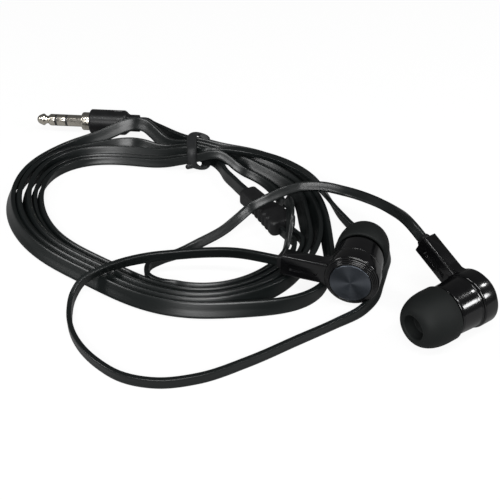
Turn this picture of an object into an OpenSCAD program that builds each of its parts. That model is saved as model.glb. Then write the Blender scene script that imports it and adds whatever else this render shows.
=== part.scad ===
// Wired in-ear earphones, laid down with the flat cord wound up and tied.
// +X runs to the viewer's right, +Y away from the viewer and +Z up from the table.
// The origin is under the middle of the two earpieces, on the table.

/* [Earpiece housing] */
// Diameter of the housing's rear band
band_d = 12.8; // [12:0.1:14]
// Length of the rear band along the earpiece
band_len = 4; // [3.6:0.1:5]
// Diameter of the front shell where it meets the band
barrel_d = 12.3; // [11.6:0.1:12.6]
// Diameter of the front shell at its front edge
barrel_front_d = 11.6; // [11:0.1:12]
// Length of the front shell ahead of the band
barrel_len = 6.2; // [5:0.1:7.4]
// Wall of the housing
housing_wall = 0.9; // [0.7:0.05:1]
// Radius of the rounded edges
edge_r = 0.45; // [0.2:0.05:0.6]

/* [Stem] */
// Distance from the housing's axis to the end of the stem
stem_reach = 16.6; // [14:0.1:20]
// Width of the stem where it joins the band
stem_w = 5.6; // [5:0.1:5.8]
// Width of the stem at its free end
stem_end_w = 5.3; // [4.4:0.1:5.6]
// Depth of the stem, along the earpiece
stem_depth = 3.6; // [3.2:0.1:3.8]
// Radius of the fillets where the stem runs into the band
stem_fillet = 4.6; // [2:0.1:5]
// Length of the long recess in the stem's sides
recess_len = 7.2; // [4:0.1:9]
// Width of that recess
recess_w = 1.8; // [1:0.1:2.2]
// Depth of that recess
recess_depth = 0.4; // [0.2:0.05:0.5]

/* [Rear trim] */
// Diameter of the spun end disc
disc_d = 9.6; // [8.8:0.1:10]
// How far the end disc's face stands behind the band
trim_rise = 1.1; // [0.8:0.1:1.4]
// Number of steps on the trim ring
trim_steps = 3; // [1:1:4]

/* [Nozzle and ear tip] */
// Diameter of the lip that holds the ear tip
lip_d = 5.1; // [4.6:0.1:5.6]
// Diameter of the nozzle behind the lip
nozzle_d = 4.4; // [4:0.1:4.5]
// Bore of the nozzle
nozzle_bore = 3; // [2.4:0.1:3.2]
// Length of the nozzle
nozzle_len = 3.8; // [3.4:0.1:4.6]
// Largest diameter of the ear tip
tip_d = 12.6; // [11.4:0.1:13.2]
// Length of the ear tip's skirt and dome
tip_len = 8.8; // [8:0.1:11]
// Thickness of the soft skirt
tip_wall = 0.6; // [0.4:0.05:0.9]
// Radial play between the lip and the ear tip's sleeve
tip_play = 0.05; // [0.02:0.01:0.1]
// How far the ear tip slides to come off the nozzle
tip_travel = 4.5; // [4:0.1:5]

/* [Driver] */
// Diameter of the driver's basket
driver_d = 10; // [9:0.1:10.2]
// Depth of the basket
driver_len = 3.2; // [2.8:0.1:3.6]
// Diameter of the magnet
magnet_d = 5; // [4:0.1:5.4]
// Diameter of the voice coil
coil_d = 5.8; // [5.6:0.1:6.4]

/* [Plug] */
// Diameter of the plug's contacts
jack_d = 3.5; // [3.5:0.1:3.6]
// Length of the contacts, from the tip to the collar
jack_len = 14; // [13:0.5:15]
// Diameter of the metal collar
collar_d = 5.4; // [4.8:0.1:6]
// Length of the metal collar
collar_len = 2.6; // [2:0.1:3.5]
// Diameter of the plug's moulded body
grip_d = 7.4; // [6.8:0.1:8.4]
// Length of the plug's moulded body
grip_len = 15; // [12:0.5:20]

/* [Splitter] */
// Length of the splitter
split_len = 18; // [15:0.5:22]
// Width at the end where the two arms come out
split_w = 7.6; // [6.6:0.1:9]
// Width at the end where the main cord goes in
split_neck_w = 5.2; // [4.8:0.1:6]
// Thickness of the splitter
split_t = 4.4; // [4.2:0.1:5.2]
// Number of grip grooves on each edge
split_grooves = 5; // [3:1:6]

/* [Cord] */
// Width of the flat main cord
main_w = 3.8; // [3.4:0.1:4]
// Thickness of the flat main cord
main_t = 1.2; // [1:0.05:1.25]
// Width of the flat cord to each ear
arm_w = 2.5; // [2.2:0.1:2.6]
// Thickness of the flat cord to each ear
arm_t = 1.1; // [0.9:0.05:1.15]
// Whole turns that the main cord makes in the coil
main_turns = 3; // [2:1:3]
// Distance from one turn to the next
turn_pitch = 1.7; // [1.7:0.05:1.9]
// Mean radius of the coil's outer turn
coil_r = 39.2; // [38.8:0.1:40]

/* [Tie] */
// Diameter of the round tie band
tie_wire_d = 1.6; // [1.2:0.1:1.7]
// Gap between the tie and the cords that it holds
tie_gap = 0.35; // [0.3:0.05:0.6]

/* [Quality] */
// Sides of the round surfaces
$fn = 64; // [48:8:96]

/* [Hidden] */
SIDES = ["left", "right"];
EAR_PARTS = ["rear_shell", "front_shell", "trim_ring", "end_disc", "nozzle_screen", "ear_tip",
             "driver_basket", "driver_magnet", "driver_yoke", "driver_plate", "voice_coil",
             "diaphragm", "cord_gland", "cord_knot"];

tiny = 0.01;
seat = 0.05;             // air between pieces that are glued or pressed together
black = [0.05, 0.05, 0.055];
soft_black = [0.09, 0.09, 0.095];
cord_black = [0.07, 0.075, 0.08];
nickel = [0.78, 0.77, 0.74];
dark_metal = [0.22, 0.23, 0.25];
copper = [0.72, 0.40, 0.24];

// Where each earpiece lies: the point on its axis behind the band, then its
// heading about +Z from +Y, its rise, and the turn of its stem about the axis.
left_at = [-7.5, -0.6, 7];
left_heading = -17.4;
left_rise = -2.9;
left_turn = 181.3;
right_at = [20.1, -4.7, 6.4];
right_heading = 124.8;
right_rise = 0;
right_turn = -22;

band_r = band_d / 2;
band_bore = band_r - housing_wall;
barrel_r = barrel_d / 2;
barrel_end = band_len + barrel_len;
cavity_r = barrel_front_d / 2 - housing_wall + 0.2;
spigot_len = 1.6;
front_wall = 1;
mouth_at = barrel_end + nozzle_len;
lip_len = 1;
stem_mid = band_len / 2;
gland_proud = 1.2;
gland_w = 3.6;
gland_t = 2.2;

tip_r = tip_d / 2;
tip_back = barrel_end + 0.4;
tip_front = tip_back + tip_len;
tip_bore = lip_d / 2 + tip_play;
sleeve_r = tip_bore + 0.75;
sleeve_back = barrel_end + 0.5;
mouth_r = 2.9;

// ---------------------------------------------------------------- earpieces

// Puts an earpiece, drawn with its nozzle along +Z and its stem along +X, in its place.
module lay(side)
    if (side == "left")
        translate(left_at) rotate([0, 0, left_heading]) rotate([left_rise - 90, 0, 0])
            rotate([0, 0, left_turn]) children();
    else
        translate(right_at) rotate([0, 0, right_heading]) rotate([right_rise - 90, 0, 0])
            rotate([0, 0, right_turn]) children();

// Points of a quarter circle about c, from angle a to angle b.
function arc(c, r, a, b, n = 6) = [for (i = [0 : n]) c + r * [cos(a + (b - a) * i / n), sin(a + (b - a) * i / n)]];

// Rear band with the stem moulded on: the stem runs into the band with two fillets.
module rear_shell() {
    band = concat(
        [[band_bore, 0]],
        arc([band_r - edge_r, edge_r], edge_r, -90, 0),
        arc([band_r - edge_r, band_len - edge_r], edge_r, 0, 90),
        [[band_bore, band_len]]);
    low = stem_mid - stem_depth / 2;
    difference() {
        union() {
            rotate_extrude() polygon(band);
            intersection() {
                translate([0, 0, low]) linear_extrude(stem_depth) stem_outline();
                rotate([90, 0, 90]) linear_extrude(stem_reach + 1) stem_section();
            }
        }
        translate([0, 0, -1]) cylinder(r = band_bore, h = band_len + 2);
        for (face = [low, low + stem_depth])
            translate([stem_reach - 2.6, 0, face - recess_depth]) recess(2 * recess_depth);
        stem_channel();
    }
}

// The stem seen along the earpiece: a bar that narrows to its end, and its fillets.
module stem_outline() {
    half = stem_w / 2;
    fc = [sqrt(pow(band_r + stem_fillet, 2) - pow(half + stem_fillet, 2)), half + stem_fillet];
    end_r = 0.6;
    polygon(concat(
        [[band_bore - 0.3, -half], [fc[0], -half]],
        arc([stem_reach - end_r, -stem_end_w / 2 + end_r], end_r, -90, 0),
        arc([stem_reach - end_r, stem_end_w / 2 - end_r], end_r, 0, 90),
        [[fc[0], half], [band_bore - 0.3, half]]));
    for (s = [-1, 1])
        scale_y(s) difference() {
            polygon([[band_bore - 0.3, 0], fc * band_r / (band_r + stem_fillet), fc, [fc[0], 0]]);
            translate(fc) circle(stem_fillet);
        }
}

// Mirrors its children across the X axis when s is negative.
module scale_y(s)
    if (s < 0) mirror([0, 1, 0]) children();
    else children();

// The stem seen from its end, with rounded long edges, wide enough for the fillets.
module stem_section() {
    r = 0.7;
    w = 2 * (stem_w / 2 + stem_fillet);
    d = stem_depth;
    translate([0, stem_mid]) {
        square([stem_w - 2 * r, d], center = true);
        square([w, d - 2 * r], center = true);
        for (x = [-1, 1], y = [-1, 1])
            translate([x * (stem_w / 2 - r), y * (d / 2 - r)]) circle(r);
    }
}

// A long recess with round ends.
module recess(h) {
    run = recess_len - recess_w;
    for (x = [0, -run]) translate([x, 0, 0]) cylinder(d = recess_w, h = h);
    translate([-run, -recess_w / 2, 0]) cube([run, recess_w, h]);
}

// The room inside the stem: a wide part for the knot and a mouth for the gland.
knot_d = 2;
knot_room = knot_d + 0.2;
gland_seat = 2.4;
module stem_channel() {
    translate([band_bore - 1, 0, stem_mid]) rotate([0, 90, 0])
        cylinder(d = knot_room, h = stem_reach - band_bore - gland_seat + 1 + tiny);
    translate([stem_reach - gland_seat, -gland_w / 2 - seat, stem_mid - gland_t / 2 - seat])
        cube([gland_seat + 1, gland_w + 2 * seat, gland_t + 2 * seat]);
}

// Soft collar that the cord is moulded into, plugged into the end of the stem.
module cord_gland() {
    x0 = stem_reach - gland_seat;
    len = gland_seat + gland_proud;
    translate([x0, 0, stem_mid]) intersection() {
        translate([0, -gland_w / 2, -gland_t / 2]) cube([len, gland_w, gland_t]);
        translate([-1, 0, 0]) rotate([0, 90, 0]) cylinder(d = gland_w + 0.3, h = len + 2);
    }
}

// Overhand knot in the wires, drawn up behind the gland so that a pull can't reach the driver.
module cord_knot() {
    r = knot_d * 0.22;
    x0 = stem_reach - gland_seat - knot_d / 2;
    translate([x0, 0, stem_mid]) rotate([0, 90, 0]) {
        rotate_extrude() translate([knot_d / 2 - r, 0]) circle(r);
        translate([0, 0, -knot_d * 1.5]) cylinder(r = 0.35, h = knot_d * 2 - seat);
    }
}

// Front shell: spigot into the band, tapering barrel, front wall and lipped nozzle.
module front_shell() {
    r_front = barrel_front_d / 2;
    spigot_r = band_bore - seat;
    neck = nozzle_d / 2;
    lip = lip_d / 2;
    bore = nozzle_bore / 2;
    round_r = 0.7;
    inner = min(cavity_r, spigot_r - 0.4);
    rotate_extrude() polygon(concat(
        [[inner, band_len - spigot_len], [spigot_r, band_len - spigot_len], [spigot_r, band_len + seat],
         [barrel_r - edge_r / 2, band_len + seat], [barrel_r, band_len + seat + edge_r / 2],
         [barrel_r, band_len + 0.4], [barrel_r - 0.15, band_len + 0.6],
         [barrel_r - 0.15, band_len + 1.5]],
        arc([r_front - round_r, barrel_end - round_r], round_r, 0, 90),
        [[neck + 0.5, barrel_end], [neck, barrel_end + 0.5],
         [neck, mouth_at - lip_len - 0.2], [lip, mouth_at - lip_len]],
        arc([lip - 0.35, mouth_at - 0.35], 0.35, 0, 90, 4),
        [[bore + 0.25, mouth_at], [bore + 0.25, mouth_at - 0.5], [bore, mouth_at - 0.5],
         [bore, barrel_end - front_wall], [inner - 0.8, barrel_end - front_wall],
         [inner, barrel_end - front_wall - 0.8]]));
}

// Perforated metal screen that sits in the end of the nozzle.
module nozzle_screen() {
    r = nozzle_bore / 2 + 0.25 - seat;
    translate([0, 0, mouth_at - 0.45]) difference() {
        cylinder(r = r, h = 0.3);
        for (i = [0 : 5])
            rotate([0, 0, 60 * i]) translate([0.85, 0, -1]) cylinder(d = 0.5, h = 3, $fn = 16);
        translate([0, 0, -1]) cylinder(d = 0.5, h = 3, $fn = 16);
    }
}

// Silicone ear tip: a thin dome and skirt that hang from a sleeve round the nozzle.
module ear_tip() {
    lip_in = tip_bore;
    channel = 1.6;
    top = tip_front;
    dome_at = tip_back + 2.6;
    rim = mouth_r + 0.35;
    throat = mouth_at + 0.4;
    outer = [for (i = [0 : 12]) let (a = 90 * i / 12)
        [rim + (tip_r - rim) * cos(a), dome_at + (top - dome_at) * sin(a)]];
    inner_r = tip_r - tip_wall;
    dome_in = top - tip_wall - 2.4;
    inner = [for (i = [0 : 10]) let (a = 90 - 90 * i / 10)
        [sleeve_r + (inner_r - sleeve_r) * cos(a), dome_at + (dome_in - dome_at) * sin(a)]];
    rotate_extrude() polygon(concat(
        [[tip_r - tip_wall, tip_back], [tip_r - 0.25, tip_back], [tip_r - 0.05, tip_back + 0.3]],
        outer,
        [[mouth_r, top - 0.15], [channel, top - 2.2], [channel, throat],
         [lip_in, throat], [lip_in, sleeve_back], [sleeve_r, sleeve_back]],
        inner));
}

// Stepped ring that closes the band's rear edge and carries the end disc.
module trim_ring() {
    step_top = trim_rise - 0.2;
    r_out = band_r - edge_r - 0.1;
    r_in = disc_d / 2 + seat;
    dr = (r_out - r_in - 0.25) / trim_steps;
    dz = step_top / trim_steps;
    steps = [for (i = [0 : trim_steps - 1]) each [
        [r_out - i * dr, -i * dz - tiny], [r_out - i * dr, -(i + 0.75) * dz],
        [r_out - (i + 0.35) * dr, -(i + 1) * dz]]];
    rotate_extrude() polygon(concat(
        steps,
        [[r_in, -step_top], [r_in, -step_top + 0.6], [r_in - 0.8, -step_top + 0.6],
         [r_in - 0.8, 1.4], [band_bore - seat, 1.4], [band_bore - seat, -tiny]]));
}

// Spun aluminium end disc, with its locating boss.
module end_disc() {
    r = disc_d / 2;
    face = -trim_rise;
    seat_at = -(trim_rise - 0.2) + 0.6 - seat;
    boss = r - 0.8 - seat;
    rotate_extrude() polygon([
        [0, face + 0.12], [r * 0.92, face], [r - 0.12, face], [r, face + 0.12],
        [r, seat_at], [boss, seat_at], [boss, seat_at + 0.6], [0, seat_at + 0.6]]);
}

driver_r = driver_d / 2;
driver_front = barrel_end - front_wall - 0.9;
driver_back = driver_front - driver_len;
basket_wall = 0.35;
yoke_r = coil_d / 2 + 0.65;

// Driver basket: a stepped cup that clamps the diaphragm's edge and holds the yoke.
module driver_basket() {
    difference() {
        rotate_extrude() polygon([
            [yoke_r + seat, driver_back], [driver_r - 0.35, driver_back],
            [driver_r - 0.25, driver_back + 1.1], [driver_r, driver_back + 1.4],
            [driver_r, driver_front], [driver_r - basket_wall, driver_front],
            [driver_r - basket_wall, driver_front - 0.3], [driver_r - 0.75, driver_front - 0.3],
            [driver_r - 0.75, driver_back + 0.5], [yoke_r + seat, driver_back + 0.5]]);
        for (i = [0 : 3])
            rotate([0, 0, 45 + 90 * i]) translate([(yoke_r + driver_r - 0.7) / 2, 0, driver_back - 1])
                cylinder(d = 0.3, h = 2, $fn = 16);
    }
}

// Steel yoke: the cup round the magnet that carries its field to the gap.
module driver_yoke() {
    top = driver_front - 0.95;
    rotate_extrude() polygon([
        [0, driver_back - 0.2], [yoke_r, driver_back - 0.2], [yoke_r, top],
        [yoke_r - 0.5, top], [yoke_r - 0.5, driver_back + 0.3], [0, driver_back + 0.3]]);
}

module driver_magnet()
    translate([0, 0, driver_back + 0.3 + tiny]) cylinder(d = magnet_d, h = 1.2);

// Top plate: steel disc on the magnet.
module driver_plate()
    translate([0, 0, driver_back + 1.5 + 2 * tiny]) cylinder(d = magnet_d + 0.2, h = 0.45);

// Voice coil: copper winding on the diaphragm, in the gap between plate and yoke.
module voice_coil() {
    translate([0, 0, driver_front - 2.1]) difference() {
        cylinder(d = coil_d, h = 1.7);
        translate([0, 0, -1]) cylinder(d = coil_d - 0.36, h = 4);
    }
}

// Diaphragm: thin film with a centre dome and a rolled edge.
module diaphragm() {
    film = 0.08;
    edge = driver_r - basket_wall - seat;
    low = driver_front - 0.3 + tiny;
    coil_r1 = coil_d / 2;
    mid = (edge - 0.4 + coil_r1) / 2;
    span = (edge - 0.4 - coil_r1) / 2;
    top = concat(
        [for (i = [0 : 6]) let (r = coil_r1 * i / 6) [r, low + 0.45 - 0.45 * pow(r / coil_r1, 2)]],
        [for (i = [1 : 6]) let (a = 180 - 30 * i) [mid + span * cos(a), low + 0.25 * sin(a)]],
        [[edge, low]]);
    rotate_extrude() polygon(concat(
        [for (p = top) [p[0], p[1] + film]],
        [for (i = [len(top) - 1 : -1 : 0]) top[i]]));
}

// ---------------------------------------------------------------- plug

plug_at = [-81, 80.4, grip_d / 2];   // centre of the collar's front face
plug_heading = -5;                   // turn of the plug's axis about +Z
plug_end = plug_at + (collar_len + grip_len) * [cos(plug_heading), sin(plug_heading), 0];

// Puts a piece drawn with the contacts' tip towards -X in its place.
module lay_plug() translate(plug_at) rotate([0, 0, plug_heading]) children();

// Turns an outline of [distance from the collar, radius] about the plug's axis.
module plug_turn(points)
    rotate([0, -90, 0]) rotate_extrude() polygon([for (p = points) [p[1], p[0]]]);

jack_r = jack_d / 2;
core_r = 0.8;
stub_r = 2.3;                        // inside the grip
tip_to_ring = jack_len * 0.545;      // front insulator, counted back from the collar
ring_to_sleeve = jack_len * 0.315;   // rear insulator
insulator_len = 0.6;

module plug_tip() {
    n = tip_to_ring + insulator_len;
    plug_turn(concat(
        [[n, 0], [n, jack_r], [n + 1.6, jack_r], [n + 2.3, 1.15], [n + 2.9, 1.15],
         [n + 3.6, jack_r]],
        [[jack_len - 1.9, jack_r], [jack_len - 0.7, 1.25], [jack_len - 0.15, 0.7],
         [jack_len, 0]]));
}

module plug_ring() {
    a = ring_to_sleeve + insulator_len;
    plug_turn([[a, core_r + 0.35], [a, jack_r], [tip_to_ring, jack_r], [tip_to_ring, core_r + 0.35]]);
}

// Sleeve contact in one piece with its collar, and the stub that the grip is moulded on.
module plug_sleeve() {
    plug_turn([[-collar_len - 3, core_r + 0.35], [-collar_len - 3, stub_r], [-collar_len, stub_r],
               [-collar_len, collar_d / 2], [-0.5, collar_d / 2], [0, collar_d / 2 - 0.5],
               [0, jack_r], [ring_to_sleeve, jack_r], [ring_to_sleeve, core_r + 0.35]]);
}

// The two black insulating rings and the tube that joins them inside.
module plug_insulators() {
    a = ring_to_sleeve;
    b = tip_to_ring;
    t = 0.35;
    plug_turn([[-collar_len - 3, core_r - 0.5], [-collar_len - 3, core_r + t - seat],
               [a, core_r + t - seat], [a, jack_r], [a + insulator_len, jack_r],
               [a + insulator_len, core_r + t - seat], [b, core_r + t - seat], [b, jack_r],
               [b + insulator_len - tiny, jack_r], [b + insulator_len - tiny, core_r - 0.5]]);
}

// Moulded grip: round at the collar, tapering to a flat tail round the cord.
module plug_grip() {
    r = grip_d / 2;
    tail_w = main_w + 1.2;
    tail_t = main_t + 1.8;
    taper = grip_len * 0.3;
    translate([collar_len, 0, 0]) difference() {
        union() {
            rotate([0, 90, 0]) rotate_extrude() polygon(concat(
                [[0, 0], [r - 0.5, 0], [r, 0.5], [r, grip_len - taper]],
                arc([r - 1.2, grip_len - taper], 1.2, 0, 80),
                [[tail_t / 2, grip_len - taper + 1.2], [0, grip_len - taper + 1.2]]));
            intersection() {
                translate([grip_len / 2, -tail_t / 2, -tail_w / 2])
                    cube([grip_len / 2, tail_t, tail_w]);
                rotate([0, 90, 0]) cylinder(d = tail_w + 0.6, h = grip_len);
            }
        }
        translate([-1, 0, 0]) rotate([0, 90, 0]) cylinder(r = stub_r + seat, h = 4 + seat);
        for (z = [-1, 1])
            translate([grip_len * 0.45, -recess_w / 2, z > 0 ? r - 0.3 : -r - 0.7])
                cube([grip_len * 0.2, recess_w, 1]);
    }
}

// ---------------------------------------------------------------- cords

// Cross-section of a flat cord: w wide, t thick, with 6 or 8 corners.
function flat_section(w, t, sides) = sides == 6
    ? [[w / 2, 0], [w / 2 - t / 3, t / 2], [-w / 2 + t / 3, t / 2],
       [-w / 2, 0], [-w / 2 + t / 3, -t / 2], [w / 2 - t / 3, -t / 2]]
    : [[w / 2, t / 5], [w / 2 - t / 3, t / 2], [-w / 2 + t / 3, t / 2], [-w / 2, t / 5],
       [-w / 2, -t / 5], [-w / 2 + t / 3, -t / 2], [w / 2 - t / 3, -t / 2], [w / 2, -t / 5]];

function unit(v) = v / norm(v);
function spot(p) = [p[0], p[1], p[2]];

// Direction of a route [x, y, z, lean] at its point i.
function heading(route, i) =
    unit(spot(route[min(i + 1, len(route) - 1)]) - spot(route[max(i - 1, 0)]));

// One ring of corners. The cord stands on edge at lean 0 and lies flat at lean 90.
function ring(route, section, i) =
    let (t = heading(route, i), s = unit(cross(t, [0, 0, 1])), u = cross(s, t),
         a = route[i][3], w = cos(a) * u + sin(a) * s, n = cross(t, w))
    [for (c = section) spot(route[i]) + c[0] * w + c[1] * n];

// A flat cord swept along a route, as one closed solid.
module sweep(route, section) {
    m = len(section);
    k = len(route);
    points = [for (i = [0 : k - 1]) each ring(route, section, i)];
    skin = [for (i = [0 : k - 2], j = [0 : m - 1]) let (a = i * m + j, b = i * m + (j + 1) % m)
        each [[a, b, b + m], [a, b + m, a + m]]];
    first = [for (j = [1 : m - 2]) [0, j + 1, j]];
    last = [for (j = [1 : m - 2]) [(k - 1) * m, (k - 1) * m + j, (k - 1) * m + j + 1]];
    polyhedron(points, concat(first, skin, last), convexity = 10);
}

// Catmull-Rom curve through a route's points, n steps to each span.
function smooth(p, n) = concat(
    [for (i = [0 : len(p) - 2], k = [0 : n - 1])
        let (t = k / n, a = i == 0 ? 2 * p[0] - p[1] : p[i - 1], b = p[i], c = p[i + 1],
             d = i == len(p) - 2 ? 2 * c - b : p[i + 2])
        0.5 * (2 * b + (c - a) * t + (2 * a - 5 * b + 4 * c - d) * t * t
            + (3 * b - 3 * c + d - a) * t * t * t)],
    [p[len(p) - 1]]);

// The coil is one flat spiral, wound clockwise and inwards. Its angle a counts on
// from the tie through every turn, with 0 at +Y. The three cords follow each other on it.
coil_at = [-53.3, 32.3];
tie_angle = 11;
// Waves of the coil's outline: how many, how high, and the angle of a crest
outline_waves = [[1, 2.7, 40], [2, 5.5, 120], [3, 1.9, 54], [4, 1.1, 45], [5, 0.4, 32]];
// Turns that stand off the bundle: at which angle, how far and over what angle
stand_offs = [[128, 6, 17], [278, 0.4, 26], [326, 2.2, 11], [343, 6.8, 11], [638, 0.4, 26],
              [812, -1.4, 14], [998, -0.4, 26], [1358, -0.4, 26], [1718, -0.4, 26]];
// Turns that are raised: at which angle, how far and over what angle
lifts = [[345, 4, 13], [1825, 4.2, 10]];
ring_step = 15;                      // 24 rings to a turn
main_end = tie_angle + 360 * main_turns;
left_end = main_end + 360;
right_end = left_end + 360 + 165;
left_from = left_end - 17 * ring_step;    // where the arms come to the spiral
right_from = right_end - 28 * ring_step;
tie_lift = tie_wire_d + 0.3;         // room under the cords for the tie
hump_angle = left_end + 442.5;       // where the last turn passes over the splitter's end
hump_rise = split_t + 1;

function outline_r(a) = coil_r + wave_sum(a, len(outline_waves) - 1);
function wave_sum(a, i) = i < 0 ? 0
    : outline_waves[i][1] * cos(outline_waves[i][0] * (a - outline_waves[i][2])) + wave_sum(a, i - 1);
function outline_point(a) = coil_at + outline_r(a) * [sin(a), cos(a)];
function outward(a) = let (d = unit(outline_point(a + 1) - outline_point(a - 1))) [-d[1], d[0]];
function bell(x) = exp(-x * x);
function bells(a, list, i) = i < 0 ? 0
    : list[i][1] * bell((a - list[i][0]) / list[i][2]) + bells(a, list, i - 1);
function from_tie(a) = let (d = (a - tie_angle + 180) % 360 - 180) d;
function lane(a) = bells(a, stand_offs, len(stand_offs) - 1) - turn_pitch * (a - tie_angle) / 360;

// A point of the spiral: a cord of width w stands on the table, is lifted over the
// tie, and rises over the splitter's end where the last turn passes it.
function spiral(a, w) =
    let (p = outline_point(a) + lane(a) * outward(a))
    [p[0], p[1], w / 2 + 0.05 + tie_lift * bell(from_tie(a) / 10) + bells(a, lifts, len(lifts) - 1)
        + hump_rise * bell(pow((a - hump_angle) / 12, 2)), 0];
function turns(a, b, w) = [for (v = [a : ring_step : b + 1]) spiral(v, w)];

// A point d before the ring at a, or beyond it, straight on from the coil's own rings,
// so that the two cords that meet there share one face.
function ahead(a, w, d) = straight(spiral(a, w), spiral(a + ring_step, w), -d);
function beyond(a, w, d) = straight(spiral(a, w), spiral(a - ring_step, w), -d);
function straight(p, q, d) = let (v = d * unit(spot(q) - spot(p))) [p[0] + v[0], p[1] + v[1], p[2] + v[2], 0];

// A point of the bundle at angle v, with its own lane, height and lean.
function over(v, off, z, lean) = let (p = outline_point(v) + off * outward(v)) [p[0], p[1], z, lean];

// Least gap between neighbouring turns, from the distance of their ring centres.
function gap_at(a) = norm(spiral(a, 0) - spiral(a + 360, 0));
strand_pairs = [[tie_angle, main_end - 360], [left_from, left_end], [right_from, right_end - 360]];
coil_gap = min([for (p = strand_pairs, a = [p[0] : 5 : p[1]]) gap_at(a)]) - main_t;
echo(least_coil_gap = coil_gap);

main_section = flat_section(main_w, main_t, 6);
arm_section = flat_section(arm_w, arm_t, 6);
main_free = flat_section(main_w, main_t, 8);
arm_free = flat_section(arm_w, arm_t, 8);

// Splitter: centre of the end that the main cord enters, and its heading about +Z
split_at = [-31.2, 42.4, split_t / 2];
split_heading = -57;
split_dir = [cos(split_heading), sin(split_heading), 0];
split_side = [-split_dir[1], split_dir[0], 0];
split_exit = split_at + split_len * split_dir;
arm_gap = 2.2;                       // between the two arms where they leave the splitter

// Point on an arm's way out of the splitter: d along it, s times half the gap to the side.
function way_out(d, s) = let (p = split_exit + d * split_dir + s * arm_gap / 2 * split_side)
    [p[0], p[1], arm_w / 2 + 0.05, 0];

// Main cord from the plug's tail to the coil, under the tie.
plug_route = concat(
    [for (d = [0, 2]) [plug_end[0] + d * cos(plug_heading), plug_end[1] + d * sin(plug_heading),
        plug_end[2], 0]],
    [[-59.2, 76.6, 3.6, 0], [-56, 74, 3.5, 0], [-53.2, 71.4, 3.6, 0], [-50.8, 69.2, 3.8, 0]],
    [ahead(tie_angle, main_w, 1.5), spiral(tie_angle, main_w)]);

// Main cord from the coil's inner end, under both arms, to the splitter.
lead_route = concat(
    [spiral(main_end, main_w), beyond(main_end, main_w, 1.5)],
    [over(16, -4.9, 2.6, 0), over(21, -5.6, 1.95, 0), over(25.5, -8.4, 1.95, 0)],
    [[-36.8, 52.2, 1.95, 0], [-34.7, 48.4, 2.05, 0]],
    [for (d = [-2.6, 0]) [split_at[0] + d * split_dir[0], split_at[1] + d * split_dir[1],
        split_at[2], 0]]);

// Left arm: over the bundle, round the ear tip, and in a wide loop to its stem.
left_route = concat(
    [spiral(left_end, arm_w), beyond(left_end, arm_w, 1.5)],
    [over(17, -7, 5.3, 30), over(24, -6.2, 5.8, 70), over(31, -5.2, 5.6, 85),
     over(39, -4, 5.2, 88), over(49, -2.6, 5, 88), over(60, -1, 5, 88), over(70, 0.6, 4.9, 75)],
    [[-9.6, 38, 3.6, 40], [-6.4, 32, 2, 5], [-3, 27, 1.3, 0], [0.8, 24.4, 1.3, 0], [3.4, 20.8, 1.3, 0],
     [3.9, 16.4, 1.3, 0], [2.8, 11.2, 1.3, 0], [1.1, 5.4, 1.3, 0], [-0.6, 0.2, 1.3, 0],
     [-4.2, -4.5, 1.3, 0],
     [-11.5, -8.8, 1.3, 0], [-20, -14, 1.3, 0], [-30.5, -20.5, 1.3, 0], [-41, -25.5, 1.3, 0],
     [-49.5, -26.8, 1.3, 0], [-57, -25, 1.3, 0], [-62.5, -21, 1.3, 0], [-66.5, -16.5, 1.3, 0],
     [-69.5, -11, 1.3, 0], [-71, -5, 1.5, 0], [-70.8, -0.5, 2.6, 0], [-69, 2.5, 4.4, 10],
     [-65.5, 4.2, 5.4, 20], [-60.5, 6.5, 5.6, 10], [-54, 9, 5.6, 0], [-49, 9.8, 5.6, 0],
     [-42, 9.6, 5.8, 0], [-35, 8.2, 6.2, 0]]);

// Right arm, from its sharp turn across the coil and over the splitter to the stem.
right_route = concat(
    [spiral(right_end, arm_w), beyond(right_end, arm_w, 1.5)],
    [[-53.9, 7.7, 1.3, 0], [-54.8, 10, 1.3, 0], [-53.8, 12.6, 1.3, 0], [-50.2, 15.4, 1.3, 0],
     [-43, 20.5, 1.9, 0], [-36.6, 25.1, 3, 0], [-33.2, 28, 4.4, -5], [-30, 31, 5.6, -15],
     [-25.6, 32.6, 7.3, -30], [-21, 34.4, 8.5, -40], [-17, 36, 8.6, -50], [-12, 36.1, 8.7, -53],
     [-6, 34, 8.6, -53], [-0.3, 28.2, 10, -45], [4, 21.5, 11.5, -30]]);

module cord(route, section, color_) color(color_) sweep(route, section);

// The end of an arm's route where it runs square into its gland.
function into_gland(side) =
    let (out = stem_reach + gland_proud, p = place(side, [out, 0, stem_mid]),
         q = place(side, [out + 2.4, 0, stem_mid]), lean = side == "left" ? 0 : -20)
    [[q[0], q[1], q[2], lean], [p[0], p[1], p[2], lean]];

// Where lay(side) puts a point.
function turn_z(p, a) = [p[0] * cos(a) - p[1] * sin(a), p[0] * sin(a) + p[1] * cos(a), p[2]];
function turn_x(p, a) = [p[0], p[1] * cos(a) - p[2] * sin(a), p[1] * sin(a) + p[2] * cos(a)];
function place(side, p) = side == "left"
    ? left_at + turn_z(turn_x(turn_z(p, left_turn), left_rise - 90), left_heading)
    : right_at + turn_z(turn_x(turn_z(p, right_turn), right_rise - 90), right_heading);

module plug_lead() cord(smooth(plug_route, 1), main_free, cord_black);
module main_coil() cord(turns(tie_angle, main_end, main_w), main_section, cord_black);
module splitter_lead() cord(smooth(lead_route, 1), main_free, cord_black);
module left_arm_coil()
    cord(concat([way_out(0, 1), way_out(2.5, 1), way_out(5.5, 1)], turns(left_from, left_end, arm_w)),
        arm_section, cord_black);
module left_arm_lead()
    cord(concat(left_route, into_gland("left")), arm_free, cord_black);
module right_arm_coil()
    cord(concat([way_out(0, -1), way_out(2.5, -1), way_out(5.5, -1)], turns(right_from, right_end, arm_w)),
        arm_section, cord_black);
module right_arm_lead()
    cord(concat(right_route, into_gland("right")), arm_free, cord_black);

// ---------------------------------------------------------------- splitter and tie

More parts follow.
